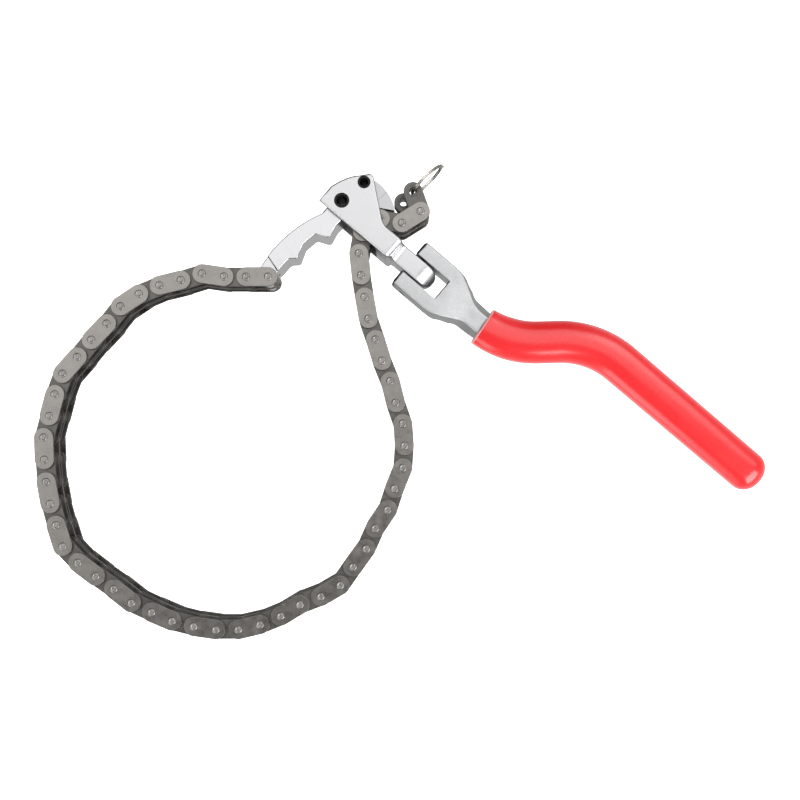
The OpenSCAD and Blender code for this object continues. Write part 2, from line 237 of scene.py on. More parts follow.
CAST = metal("cast_silver", (0.68, 0.68, 0.69), 0.36, 3600, 0.16, 0.03)
FORGED = metal("forged_silver", (0.60, 0.605, 0.61), 0.42, 2600, 0.40, 0.04, speckle=0.22)
# SCALE is painted shade: a dark steel for the fork's edges that face away from the grip
SCALE = metal("fork_edge_painted_shade", (0.12, 0.12, 0.125), 0.45, 2600, 0.40, 0.10)
CHROME = metal("chrome_satin", (0.64, 0.64, 0.65), 0.20, 1800, 0.05, 0.02)
# painted shade: the pawl's chrome, drawn darker than the jaw's for the shade of the cheek over it
PAWL_SHADED_CHROME = metal("pawl_chrome_painted_shade", (0.50, 0.50, 0.508), 0.24, 1800, 0.05, 0.02)
BLACK = metal("black_oxide", (0.012, 0.012, 0.013), 0.55, 2400, 0.15, 0.2, metallic=0.4)
OUTER_PLATE = metal("outer_plate_steel", (0.315, 0.30, 0.28), 0.30, 2800, 0.20, 0.12, per_object=True)
INNER_PLATE = metal("inner_plate_steel", (0.165, 0.16, 0.15), 0.42, 2800, 0.22, 0.16, per_object=True)
# painted shade: the dark steel on the chain plates' upright walls, darker than their faces
SHADED_EDGE_STEEL = metal("painted_shade_edge_steel", (0.075, 0.072, 0.068), 0.42, 2800, 0.22, 0.2)
RIVET = metal("rivet_steel", (0.35, 0.34, 0.325), 0.40, 2200, 0.10, 0.12, per_object=True)
ROLLER = metal("roller_steel", (0.30, 0.29, 0.28), 0.30, 1500, 0.06, 0.1, per_object=True)
WIRE = metal("ring_wire_steel", (0.62, 0.59, 0.55), 0.24, 1800, 0.06, 0.08)
RED = grip_plastic()
# painted highlight: the paler pink of the grip's rim round its mouth
RIM_HIGHLIGHT = metal("grip_rim_painted_highlight", (0.92, 0.42, 0.42), 0.5, 900, 0.05, 0.03, metallic=0.0)

# ---------------------------------------------------------------- mesh helpers


def to_m(point):
    return Vector(point) * MM


def mesh_from(name, bm, materials):
    """The bmesh as a mesh, with its faces turned outwards. It frees the bmesh."""
    bmesh.ops.recalc_face_normals(bm, faces=bm.faces)
    mesh = bpy.data.meshes.new(name)
    bm.to_mesh(mesh)
    bm.free()
    for material in materials:
        mesh.materials.append(material)
    return mesh


def shade(mesh, sharp_angle=32):
    """Smooth faces, with the edges past that angle kept sharp."""
    limit = math.radians(sharp_angle)
    bm = bmesh.new()
    bm.from_mesh(mesh)
    for face in bm.faces:
        face.smooth = True
    for edge in bm.edges:
        edge.smooth = len(edge.link_faces) == 2 and edge.calc_face_angle(0) < limit
    bm.to_mesh(mesh)
    bm.free()


def show(name, mesh, body, node, weighted=True):
    """Puts a mesh in the scene as a piece that rides on a body and stands for a CAD node."""
    piece = bpy.data.objects.new(name, mesh)
    bpy.context.scene.collection.objects.link(piece)
    if weighted:
        piece.modifiers.new("normals", "WEIGHTED_NORMAL").keep_sharp = True
    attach(piece, body)
    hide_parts(node)


def add_loft(bm, rings, material=0, closed=False, capped=True):
    """Quads between rings of points, in millimetres, with an n-gon over each end."""
    rows = [[bm.verts.new(to_m(p)) for p in ring] for ring in rings]
    pairs = list(zip(rows, rows[1:] + rows[:1])) if closed else list(zip(rows, rows[1:]))
    for a, b in pairs:
        for i in range(len(a)):
            k = (i + 1) % len(a)
            bm.faces.new((a[i], a[k], b[k], b[i])).material_index = material
    if capped and not closed:
        bm.faces.new(list(reversed(rows[0]))).material_index = material
        bm.faces.new(rows[-1]).material_index = material


def arc(centre, r, start, end, steps):
    """Points on an arc, from one angle to another in degrees."""
    points = []
    for i in range(steps + 1):
        a = math.radians(start + (end - start) * i / steps)
        points.append((centre[0] + r * math.cos(a), centre[1] + r * math.sin(a)))
    return points


def arc_between(p, q, sagitta, steps=20):
    """Points on an arc from p to q that bulges to its left."""
    p, q = Vector(p), Vector(q)
    half = (q - p).length / 2
    r = (half * half + sagitta * sagitta) / (2 * sagitta)
    ahead = (q - p).normalized()
    left = Vector((-ahead.y, ahead.x))
    centre = (p + q) / 2 + left * (sagitta - r)
    reach = math.asin(half / r)
    turns = [-reach + 2 * reach * i / steps for i in range(steps + 1)]
    return [tuple(centre + r * (ahead * math.sin(a) + left * math.cos(a))) for a in turns]


def prism(outline, low, high, plane="XY"):
    """A solid from an outline. In plane XY it stands along Z, in plane XZ along Y."""
    bm = bmesh.new()
    if plane == "XY":
        rings = [[(x, y, z) for x, y in outline] for z in (low, high)]
    else:
        rings = [[(x, y, z) for x, z in outline] for y in (low, high)]
    add_loft(bm, rings)
    return bm


def rod(centre, r, length, axis="Z", sides=64):
    """A round solid centred on a point."""
    bm = bmesh.new()
    rings = []
    for t in (-length / 2, length / 2):
        circle = arc((0, 0), r, 0, 360 - 360 / sides, sides - 1)
        if axis == "Z":
            rings.append([(centre[0] + x, centre[1] + y, centre[2] + t) for x, y in circle])
        else:
            rings.append([(centre[0] + x, centre[1] + t, centre[2] + y) for x, y in circle])
    add_loft(bm, rings)
    return bm


def solid_object(bm):
    return bpy.data.objects.new("tool", mesh_from("tool", bm, []))


def carve(base, cutters, operation="DIFFERENCE"):
    """The base cut by each cutter in turn, as a new bmesh."""
    target = solid_object(base)
    bpy.context.scene.collection.objects.link(target)
    tools = []
    for cutter in cutters:
        tool = solid_object(cutter)
        bpy.context.scene.collection.objects.link(tool)
        tools.append(tool)
        step = target.modifiers.new("cut", "BOOLEAN")
        step.operation = operation
        step.solver = "EXACT"
        step.object = tool
    graph = bpy.context.evaluated_depsgraph_get()
    result = bmesh.new()
    result.from_mesh(target.evaluated_get(graph).to_mesh())
    for spent in [target, *tools]:
        mesh = spent.data
        bpy.data.objects.remove(spent)
        bpy.data.meshes.remove(mesh)
    bmesh.ops.remove_doubles(result, verts=result.verts, dist=0.002 * MM)
    return result


def soften(bm, width, segments, wanted=lambda p: True, least=28, clamp=True):
    """Bevels the edges sharper than the least angle whose middle, in millimetres, is wanted."""
    limit = math.radians(least)
    flat = math.radians(0.3)
    bmesh.ops.dissolve_limit(bm, angle_limit=flat, verts=bm.verts, edges=bm.edges)
    edges = []
    for edge in bm.edges:
        middle = (edge.verts[0].co + edge.verts[1].co) / (2 * MM)
        if len(edge.link_faces) == 2 and edge.calc_face_angle(0) > limit and wanted(middle):
            edges.append(edge)
    bmesh.ops.bevel(
        bm, geom=edges, offset=width * MM, offset_type="OFFSET", segments=segments,
        profile=0.5, affect="EDGES", clamp_overlap=clamp,
    )


# ---------------------------------------------------------------- the arm

ARM_FRAME = Matrix.Translation(HINGE * MM) @ Matrix.Rotation(math.radians(ARM_ANGLE), 4, "Z")


def on_arm(point):
    """A point of the frame, in the arm's own millimetres: along it, across it and up from its middle."""
    return ARM_FRAME.inverted() @ (Vector(point) * MM) / MM


JAW_ON_ARM = on_arm(JAW_PIVOT)
PAWL_ON_ARM = on_arm(PAWL_PIVOT)
QUARTER = math.radians(90)
NOSE = (-19.4, -0.3)
NOSE_R = 3.8
NECK_HIGH = 4.4
NECK_LOW = -5.4
NECK_END = -15.0
STEP_R = 3.1
TONGUE_HALF_W = 4.25
TONGUE_HALF_T = 8.6
TONGUE_CORNER = 3.8
CHEEK_INNER = ARM_DEPTH / 2 - 3.0
JAW_PIN_R = 3.25
PAWL_PIN_R = 2.75
HINGE_PIN_R = 2.5
FORK_W = 24.0
PIN_SEAT = 0.02


def arm_plan():
    """The arm's outline from above: the cheek, the neck and the tongue."""
    root = NECK_END + STEP_R
    corner = (TONGUE_HALF_T - TONGUE_CORNER, TONGUE_HALF_W - TONGUE_CORNER)
    points = arc((-21.4, NECK_HIGH + 6), 6, 270, 232, 10)
    points += arc((-40.7, 15.5), 2.1, 52, 128, 10)
    points += [(-44.6, 14.1), (-46.4, 12.2), (-48, 9.8), (-49.6, 6.6), (-51, 2.6)]
    points += [(-51, NECK_LOW), (root - 1, NECK_LOW), (root, -TONGUE_HALF_W)]
    points += arc((corner[0], -corner[1]), TONGUE_CORNER, 270, 360, 10)
    points += arc(corner, TONGUE_CORNER, 0, 90, 10)
    points += [(root, TONGUE_HALF_W), (root - 1, NECK_HIGH)]
    return points


def arm_side():
    """The arm's outline from its side: full depth, the step down, and the tongue's round end."""
    top = ARM_DEPTH / 2
    root = NECK_END + STEP_R
    upper = [(-60, top)]
    upper += arc((NECK_END, top - STEP_R), STEP_R, 90, 0, 12)
    upper += arc((root + STEP_R, TONGUE_HALF_T + STEP_R), STEP_R, 180, 270, 12)
    upper += arc((0, 0), TONGUE_HALF_T, 90, 0, 24)
    return upper + [(x, -z) for x, z in reversed(upper[:-1])]


def head_pocket():
    """The space between the cheeks, up to the nose."""
    nose = arc(NOSE, NOSE_R, 270, 90, 24)
    outline = [(-60, -20), (NOSE[0], -20)] + nose + [(NOSE[0], 24), (-60, 24)]
    return prism(outline, -CHEEK_INNER, CHEEK_INNER)


def make_arm():
    """The casting: cheeks, neck and tongue, rounded along its outer edges, with its three pin holes."""
    body = carve(prism(arm_plan(), -30, 30), [prism(arm_side(), -40, 40, "XZ")], "INTERSECT")
    body = carve(body, [head_pocket()])
    outer = ARM_DEPTH / 2 - 0.05
    soften(body, 0.8, 3, lambda p: abs(p.z) > outer or p.x > NECK_END - 0.5, clamp=False)
    soften(body, 0.3, 2, lambda p: abs(p.z) < CHEEK_INNER + 0.1 and p.x < NECK_END)
    deep = ARM_DEPTH + 10
    body = carve(body, [
        rod(JAW_ON_ARM, JAW_PIN_R + PIN_SEAT, deep),
        rod(PAWL_ON_ARM, PAWL_PIN_R + PIN_SEAT, deep),
        rod((0, 0, 0), HINGE_PIN_R + PIN_SEAT, FORK_W, "Y"),
    ])
    body.transform(ARM_FRAME)
    mesh = mesh_from("arm_casting", body, [CAST])
    shade(mesh)
    show("arm_casting", mesh, "head", "arm")


# ---------------------------------------------------------------- hollow pins and spring

PIN_WALL = 1.0
PIN_LIP = 0.3
PIN_SLIT = 14  # degrees of the wall that the slit takes


def hollow_pin(name, place, r, length):
    """A rolled spring pin: a tube with chamfered lips, slit along one side."""
    half = length / 2
    inner = r - PIN_WALL
    profile = [
        (r - PIN_LIP, half), (r, half - PIN_LIP * 1.6), (r, PIN_LIP * 1.6 - half), (r - PIN_LIP, -half),
        (inner + 0.15, -half), (inner, 0.3 - half), (inner, half - 0.3), (inner + 0.15, half),
    ]
    steps = 72
    rings = []
    for i in range(steps + 1):
        a = math.radians(PIN_SLIT / 2 + (360 - PIN_SLIT) * i / steps)
        rings.append([(rr * math.cos(a), rr * math.sin(a), z) for rr, z in profile])
    bm = bmesh.new()
    add_loft(bm, rings)
    bm.transform(place)
    mesh = mesh_from(name, bm, [BLACK])
    shade(mesh)
    show(name, mesh, "head", "head_pins_and_spring")


SPRING_WIRE_R = 0.3
SPRING_COILS = 4
SPRING_RISE = 0.7


def sweep(path, r):
    """Rings round a path, in millimetres."""
    sides = 10
    rings = []
    for i, at in enumerate(path):
        ahead = (path[min(i + 1, len(path) - 1)] - path[max(i - 1, 0)]).normalized()
        guide = Vector((0, 1, 0)) if abs(ahead.z) > 0.9 else Vector((0, 0, 1))
        right = ahead.cross(guide).normalized()
        up = ahead.cross(right)
        turns = [2 * math.pi * k / sides for k in range(sides)]
        rings.append([at + r * (right * math.cos(a) + up * math.sin(a)) for a in turns])
    return rings


def pawl_spring():
    """The coil round the pawl's pin, with one leg behind the pawl and the other up to the cheek."""
    coil_r = PAWL_PIN_R + 0.45
    steps = 40
    coil = []
    for i in range(SPRING_COILS * steps + 1):
        a = math.radians(200 - 360 * i / steps)
        z = SPRING_RISE * (i / steps - SPRING_COILS / 2)
        coil.append(Vector((coil_r * math.cos(a), coil_r * math.sin(a), z)))
    last = coil[-1]
    legs = [last + Vector(p) for p in ((-1.4, 2, 0.2), (-1.6, 2.4, 1.2), (-1.6, 2.4, 10.2))]
    path = [PAWL_PIVOT + p for p in [coil[0] + Vector((-0.3, -3, 0)), *coil, *legs]]
    bm = bmesh.new()
    add_loft(bm, sweep(path, SPRING_WIRE_R))
    mesh = mesh_from("pawl_spring", bm, [BLACK])
    shade(mesh, 60)
    show("pawl_spring", mesh, "head", "head_pins_and_spring", weighted=False)


def make_pins():
    """The three hollow pins, a little shorter than their holes, and the spring."""
    turn = Matrix.Rotation(-QUARTER, 4, "Z")
    hollow_pin("jaw_pin", Matrix.Translation(JAW_PIVOT * MM) @ turn, JAW_PIN_R, ARM_DEPTH - 0.3)
    hollow_pin("pawl_pin", Matrix.Translation(PAWL_PIVOT * MM) @ turn, PAWL_PIN_R, ARM_DEPTH - 0.3)
    sideways = ARM_FRAME @ Matrix.Rotation(QUARTER, 4, "X") @ Matrix.Rotation(QUARTER, 4, "Z")
    hollow_pin("hinge_pin", sideways, HINGE_PIN_R, FORK_W - 0.8)
    pawl_spring()


# ---------------------------------------------------------------- the jaw and the pawl

JAW_HALF = 10.65
JAW_HUB_R = 5.6
JAW_TIP_R = 3.8
JAW_TIP_HALF = 9.2
TIP_SLOT_HALF = 1.0
STEP_AT = Vector((-29.9, -26.4))
STEP_ANGLE = -55.5
RUNNING = 0.05
CHAIN_PIN_R = 1.64
PAWL_HALF = 11.2
PAWL_HUB_R = 3.5
GROOVE_AT = Vector((17.7, 2.6))
GROOVE_ANGLE = 41


def band(at, angle, half_length, left, right, low, high):
    """A block along a line at that angle in degrees, reaching that far to its left and to its right."""
    a = math.radians(angle)
    ahead = half_length * Vector((math.cos(a), math.sin(a)))
    side = Vector((-math.sin(a), math.cos(a)))
    left_edge, right_edge = at + left * side, at - right * side
    corners = [left_edge + ahead, left_edge - ahead, right_edge - ahead, right_edge + ahead]
    return prism([tuple(c) for c in corners], low, high)


def jaw_plan():
    """The jaw's outline: a hub, a curved back, a round tip, and two teeth on the filter's side."""
    tip = PINS[1]
    back = arc_between((tip.x - 3.9, tip.y + 3.6), (-8.5, -4.6), 2.85) + [(-7, -2.9)]
    hub = arc((0, 0), JAW_HUB_R, 190, -61, 40)
    teeth = [(-2.6, -10), (-5.1, -14.6), (-5.7, -15.1), (-7, -15.2), (-11.3, -13.9), (-12.4, -14.2),
             (-16.8, -18), (-18.8, -23.4), (-19.6, -24.4), (-22.6, -24.6), (-24, -25.4), (-28.4, -30.6)]
    return back + hub + teeth + arc((tip.x, tip.y), JAW_TIP_R, -62, -213, 20)


def past_step(low, high):
    """Everything past the jaw's step, between two heights."""
    return band(STEP_AT, STEP_ANGLE, 22, 0, 20, low, high)


def make_jaw():
    """The jaw, with a step down to its tip on both faces and a slot there for the chain's centre plate."""
    body = carve(prism(jaw_plan(), -JAW_HALF, JAW_HALF), [
        past_step(JAW_TIP_HALF, JAW_HALF + 5),
        past_step(-JAW_HALF - 5, -JAW_TIP_HALF),
        past_step(-TIP_SLOT_HALF, TIP_SLOT_HALF),
    ])
    soften(body, 0.45, 4, lambda p: abs(p.z) > TIP_SLOT_HALF + 0.5)
    body = carve(body, [rod((0, 0, 0), JAW_PIN_R + RUNNING, 4 * JAW_HALF)])
    body.transform(Matrix.Translation((0, 0, MID_Z * MM)))
    mesh = mesh_from("jaw_forging", body, [CHROME])
    shade(mesh)
    show("jaw_forging", mesh, "jaw", "jaw")


def pawl_plan():
    """The pawl's outline: a small hub, a curved back and a flat foot on the chain."""
    back = arc_between((10.6, 11.1), (22.7, -3.3), 2.5)
    foot = [(22.4, -3.65), (15.2, -2.3), (12.6, -1.2)]
    return back + foot + arc((PAWL_PIVOT.x, PAWL_PIVOT.y), PAWL_HUB_R, 222, 72, 24)


def pawl_groove(z):
    """A shallow line across the pawl's face."""
    return band(GROOVE_AT, GROOVE_ANGLE, 4.5, 0.35, 0.35, z - 0.5, z + 0.5)


def make_pawl():
    """The pawl, with a line across each face."""
    body = prism(pawl_plan(), -PAWL_HALF, PAWL_HALF)
    soften(body, 0.3, 3)
    x, y = PAWL_PIVOT.x, PAWL_PIVOT.y
    # room for the spring's coil and its first leg
    recess = [(x - 6.7, y - 7.5), (x - 1.3, y - 7.5), (x - 1.3, y + 0.5), (x - 6.7, y + 0.5)]
    body = carve(body, [
        rod((x, y, 0), PAWL_PIN_R + RUNNING, 4 * PAWL_HALF),
        rod((x, y, 0), 4.2, 4.4),
        prism(recess, -2.2, 2.2),
        pawl_groove(PAWL_HALF),
        pawl_groove(-PAWL_HALF),
    ])
    body.transform(Matrix.Translation((0, 0, MID_Z * MM)))
    # the pawl's darker chrome is painted shade from the cheek
    mesh = mesh_from("pawl_forging", body, [PAWL_SHADED_CHROME])
    shade(mesh)
    show("pawl_forging", mesh, "pawl", "pawl")


# ---------------------------------------------------------------- the handle

BEND_START = 33.0
BEND_R = 41.0
BEND_ANGLE = math.radians(42)
BEND_GAP = 9.2
BAR_W = 12.0
BAR_T = 9.0
BAR_END = 172.0
GRIP_START = 37.0
GRIP_END = 183.0
GRIP_W = 18.8
GRIP_T = 15.4
BEND_L = BEND_R * BEND_ANGLE
BEND_1_END = BEND_START + BEND_L
BEND_2_START = BEND_1_END + BEND_GAP
BEND_2_END = BEND_2_START + BEND_L
BEND_SHIFT = 2 * BEND_R * (1 - math.cos(BEND_ANGLE)) + BEND_GAP * math.sin(BEND_ANGLE)
BEND_RUN = 2 * BEND_R * math.sin(BEND_ANGLE) + BEND_GAP * math.cos(BEND_ANGLE)
BEND_SAVING = BEND_2_END - BEND_START - BEND_RUN
# The handle hangs from its hinge until the grip's far end rests level with the lower cheek
HANDLE_DROP = math.asin((MID_Z - GRIP_T / 2) / (GRIP_END - BEND_SAVING - 12))
HANDLE_FRAME = ARM_FRAME @ Matrix.Rotation(HANDLE_DROP, 4, "Y")


def handle_line(s):
    """x, y and heading of the handle's centre line after a length s along it."""
    if s <= BEND_START:
        return s, 0.0, 0.0
    if s <= BEND_1_END:
        a = (s - BEND_START) / BEND_R
        return BEND_START + BEND_R * math.sin(a), BEND_R * (1 - math.cos(a)), a
    if s <= BEND_2_START:
        t = s - BEND_1_END
        x = BEND_START + BEND_R * math.sin(BEND_ANGLE) + t * math.cos(BEND_ANGLE)
        return x, BEND_R * (1 - math.cos(BEND_ANGLE)) + t * math.sin(BEND_ANGLE), BEND_ANGLE
    if s <= BEND_2_END:
        a = BEND_ANGLE - (s - BEND_2_START) / BEND_R
        return BEND_START + BEND_RUN - BEND_R * math.sin(a), BEND_SHIFT - BEND_R * (1 - math.cos(a)), a
    return s - BEND_SAVING, BEND_SHIFT, 0.0


def ring_round(s, offsets):
    """A ring round the handle's centre line, from offsets to its left and upwards."""
    x, y, heading = handle_line(s)
    left = (-math.sin(heading), math.cos(heading))
    return [(x + left[0] * across, y + left[1] * across, up) for across, up in offsets]


def between(value, stops):
    """The value of a piecewise line at a place."""
    if value <= stops[0][0]:
        return stops[0][1]
    for (x0, y0), (x1, y1) in zip(stops, stops[1:]):
        if value <= x1:
            return y0 + (y1 - y0) * (value - x0) / (x1 - x0)
    return stops[-1][1]


def smoothly(value, low, high, start, end):
    """A soft step from start to end as the value goes from low to high."""
    t = min(max((value - low) / (high - low), 0), 1)
    t = t * t * (3 - 2 * t)
    return start + (end - start) * t


TINE_END = -5.4
TINE_CORNER = 1.5
TINE_T = 8.6
SLOT_HALF_W = 5
SLOT_ROOT = 13.3
NECK_W = 6.9
NECK_T = 5.2
NECK_AT = 29.6
TINE_TOP_W = 11.4
NECK_TOP_W = 3.9
PARTING = 0.4
RIDGE = 0.12
# the fork's flank, between the arc that leaves the tines and the one that meets the neck
SHOULDER_R = 8
SHOULDER_AT = 15.5
FLANK_FROM = 20.43
FLANK_TO = 24.67
FLANK_SLOPE = 0.401
FLANK_HALF_W = 10.30


def corner_loss(x):
    """How much narrower the fork is near its tines' rounded ends."""
    t = TINE_CORNER - (x - TINE_END)
    return TINE_CORNER - math.sqrt(max(TINE_CORNER ** 2 - t ** 2, 0)) if t > 0 else 0


def fork_half_w(x):
    """Half the fork's width at its parting line."""
    if x < SHOULDER_AT:
        return FORK_W / 2 - corner_loss(x)
    if x < FLANK_FROM:
        return FORK_W / 2 - SHOULDER_R + math.sqrt(SHOULDER_R ** 2 - (x - SHOULDER_AT) ** 2)
    if x < FLANK_TO:
        return FLANK_HALF_W - (x - FLANK_FROM) * FLANK_SLOPE
    if x < NECK_AT:
        return NECK_W + SHOULDER_R - math.sqrt(SHOULDER_R ** 2 - (NECK_AT - x) ** 2)
    return smoothly(x, NECK_AT, 40, NECK_W, 6.4)


def fork_section(x):
    """The forging's section: a flat top and bottom, drafted sides and a thin parting ridge."""
    wide = fork_half_w(x)
    top = min(wide - 0.6, smoothly(x, 13, 33, TINE_TOP_W, NECK_TOP_W) - corner_loss(x))
    tall = smoothly(x, 7, 37, TINE_T, NECK_T) - corner_loss(x)
    half = [(wide + RIDGE, 0), (wide, PARTING), (top, tall)]
    half += [(-across, up) for across, up in reversed(half[1:])]
    lower = [(-(wide + RIDGE), 0), (-wide, -PARTING), (-top, -tall), (top, -tall), (wide, -PARTING)]
    return half + lower


def bar_section():
    """The bar's section: a rectangle with its corners cut off."""
    x, y, c = BAR_W / 2, BAR_T / 2, 2
    return [(x, 0), (x, y - c), (x - c, y), (c - x, y), (-x, y - c), (-x, 0), (-x, c - y), (c - x, -y),
            (x - c, -y), (x, c - y)]


def make_handle():
    """The fork and its bar, lofted along the centre line, then slotted and drilled."""
    stations = [TINE_END + t for t in (0, 0.1, 0.3, 0.6, 1.0, 1.5)]
    stations += [12 + 0.7 * i for i in range(36)]
    rings = [ring_round(x, fork_section(x)) for x in stations]
    last = stations[-1]
    steps = int((BAR_END - last) / 3)
    rings += [ring_round(last + (BAR_END - last) * (i + 1) / steps, bar_section()) for i in range(steps)]
    bm = bmesh.new()
    add_loft(bm, rings)
    soften(bm, 0.7, 3, lambda p: abs(p.z) > 2 and TINE_END + 1.4 < p.x < 40, least=20, clamp=False)
    # the slot, with its root chamfered where it meets the top and the bottom
    flare = SLOT_ROOT + 6.5
    slot = [(-12, 14), (flare, 14), (SLOT_ROOT, 7.7), (SLOT_ROOT, -7.7), (flare, -14), (-12, -14)]
    body = carve(bm, [prism(slot, -SLOT_HALF_W, SLOT_HALF_W, "XZ")])
    soften(body, 0.3, 2, lambda p: abs(abs(p.y) - SLOT_HALF_W) < 0.1 and p.x < SLOT_ROOT - 0.1,
           least=40, clamp=False)
    body = carve(body, [rod((0, 0, 0), HINGE_PIN_R + RUNNING, 3 * FORK_W, "Y")])
    # the edges that face away from the grip take a dark material, painted shade that draws a dark outline
    # there
    body.normal_update()
    for face in body.faces:
        at = face.calc_center_median() / MM
        at_root = at.x < SLOT_ROOT + 0.6 and abs(at.z) > 7 and abs(at.y) < SLOT_HALF_W
        face.material_index = int(face.normal.x < -0.3 and (at.x < TINE_END + 2.2 or at_root))
    body.transform(HANDLE_FRAME)
    mesh = mesh_from("handle_forging", body, [FORGED, SCALE])
    shade(mesh)
    show("handle_forging", mesh, "handle", "handle")


OVAL_SIDES = 64
OVAL_POWER = 0.85  # below 1, it is squarer than an ellipse
GRIP_TIP = 7.5
GRIP_LIP = 0.8
LIP_RINGS = 7


def oval(half_w, half_t):
    """The grip's section, from its half width and half thickness."""
    points = []
    for i in range(OVAL_SIDES):
        turn = 2 * math.pi * i / OVAL_SIDES
        c, d = math.cos(turn), math.sin(turn)
        across = math.copysign(half_w * abs(c) ** OVAL_POWER, c)
        points.append((across, math.copysign(half_t * abs(d) ** OVAL_POWER, d)))
    return points


def grip_half_w(s):
    """Half the grip's width after a length s along the handle."""
    return GRIP_W / 2 * between(s, [(GRIP_START, 0.95), (50, 1), (BEND_2_END, 1), (GRIP_END, 0.96)])


def grip_half_t(s):
    """Half the grip's thickness after a length s along the handle."""
    return GRIP_T / 2 * between(s, [(GRIP_START, 0.86), (60, 0.94), (BEND_2_END, 1), (GRIP_END, 0.96)])


def make_grip():
    """The dipped skin: a mouth round the fork's neck, a rolled lip, the bends and a round tip."""
    mouth = oval(7.05, 6.35)
    rings = [ring_round(GRIP_START + 6, mouth), ring_round(GRIP_START + 0.3, mouth)]
    for i in range(LIP_RINGS):
        a = math.radians(180 - 90 * i / (LIP_RINGS - 1))
        grow = GRIP_LIP * (1 - math.sin(a))
        s = GRIP_START + GRIP_LIP + GRIP_LIP * math.cos(a)
        rings.append(ring_round(s, oval(grip_half_w(s) - grow, grip_half_t(s) - grow)))
    body_end = GRIP_END - GRIP_TIP
    steps = 70
    for i in range(1, steps + 1):
        s = GRIP_START + GRIP_LIP + (body_end - GRIP_START - GRIP_LIP) * i / steps
        rings.append(ring_round(s, oval(grip_half_w(s), grip_half_t(s))))
    for i in range(1, 13):
        a = math.radians(87 * i / 12)
        s = body_end + GRIP_TIP * math.sin(a)
        rings.append(ring_round(s, oval(grip_half_w(s) * math.cos(a), grip_half_t(s) * math.cos(a))))
    bm = bmesh.new()
    add_loft(bm, rings, capped=False)
    # the rim round the mouth is paler than the dipped skin, a painted highlight on the lip's rounded edge
    bm.faces.ensure_lookup_table()
    for face in bm.faces[OVAL_SIDES:OVAL_SIDES * (LIP_RINGS + 1)]:
        face.material_index = 1
    bm.verts.ensure_lookup_table()
    bm.faces.new(bm.verts[-OVAL_SIDES:])
    bm.transform(HANDLE_FRAME)
    mesh = mesh_from("grip_dip", bm, [RED, RIM_HIGHLIGHT])
    shade(mesh, 60)
    show("grip_dip", mesh, "handle", "grip", weighted=False)


# ---------------------------------------------------------------- the chain

PLATE_R = 4.13
STRAND_Z = 5.12
INNER_T = 1.3
OUTER_T = 1.2
CENTRE_T = 1.5
INNER_HALF_W = 2.86
OUTER_Z = STRAND_Z + INNER_HALF_W + INNER_T + 0.17
ROLLER_R = 3.175
BUSH_R = 2.45
PLATE_EDGE = 0.16
TURNED_SIDES = 32
TURNS = [2 * math.pi * i / TURNED_SIDES for i in range(TURNED_SIDES)]
# slot EDGE holds painted shade: the plates' upright walls are drawn dark
FACE, SHINE, EDGE = 0, 1, 2  # a link's material slots: its plates, its pins or rollers, its plates' edges


def plate_outline(inset):
    """A link plate's outline, pulled in by the inset."""
    r = PLATE_R - inset
    return arc((0, 0), r, 90, 270, 16) + arc((PITCH, 0), r, 270, 450, 16)


def add_plate(bm, low, thickness, hole_r=0.0):
    """A plate with softened edges. With a hole radius, it is open round both its pins."""
    high = low + thickness
    e = PLATE_EDGE
    rise = [(e, 0), (e * 0.3, e * 0.3), (0, e)]
    levels = [(inset, low + up) for inset, up in rise] + [(inset, high - up) for inset, up in reversed(rise)]
    outer = [[(x, y, z) for x, y in plate_outline(inset)] for inset, z in levels]
    start, first_face = len(bm.verts), len(bm.faces)
    add_loft(bm, outer, FACE, capped=not hole_r)
    bm.verts.ensure_lookup_table()
    bm.faces.ensure_lookup_table()
    # the upright walls between the softened rims take the dark painted-shade slot
    for face in bm.faces[first_face:]:
        heights = [vert.co.z / MM for vert in face.verts]
        if min(heights) > low + 0.9 * e and max(heights) < high - 0.9 * e:
            face.material_index = EDGE
    if not hole_r:
        return
    count = len(outer[0])
    for ring, z in ((bm.verts[start:start + count], low), (bm.verts[-count:], high)):
        cap_with_holes(bm, list(ring), z, hole_r)
    for x in (0, PITCH):
        walls = [[(x + hole_r * math.cos(a), hole_r * math.sin(a), z) for a in TURNS] for z in (low, high)]
        add_loft(bm, walls, FACE, capped=False)


def cap_with_holes(bm, rim, z, hole_r):
    """Fills a plate's face round its two holes: each end is a fan of quads, and the middle one n-gon."""
    half = len(rim) // 2
    holes = []
    for x, start, ring in ((0, 90, rim[:half]), (PITCH, 270, rim[half:])):
        steps = len(ring) - 1
        hole = [bm.verts.new(to_m((*p, z))) for p in arc((x, 0), hole_r, start, start + 180, steps)]
        for i in range(steps):
            bm.faces.new((ring[i], ring[i + 1], hole[i + 1], hole[i])).material_index = FACE
        holes.append(hole)
    near = [bm.verts.new(to_m((*p, z))) for p in arc((0, 0), hole_r, -90, 90, 16)][1:-1]
    far = [bm.verts.new(to_m((*p, z))) for p in arc((PITCH, 0), hole_r, 90, 270, 16)][1:-1]
    left = [holes[0][-1], *near, holes[0][0]]
    right = [holes[1][-1], *far, holes[1][0]]
    middle = len(left) // 2
    below = [rim[half - 1], rim[half], right[-1], *reversed(right[middle:-1]), left[middle],
             *reversed(left[:middle])]
    above = [rim[0], *reversed(left[middle:]), *reversed(right[:middle + 1]), rim[-1]]
    for outline in (below, above):
        bm.faces.new(outline).material_index = FACE


def add_turned(bm, x, profile):
    """A turned shape round the upright line at x, closed at both its ends."""
    add_loft(bm, [[(x + r * math.cos(a), r * math.sin(a), z) for a in TURNS] for r, z in profile], SHINE)


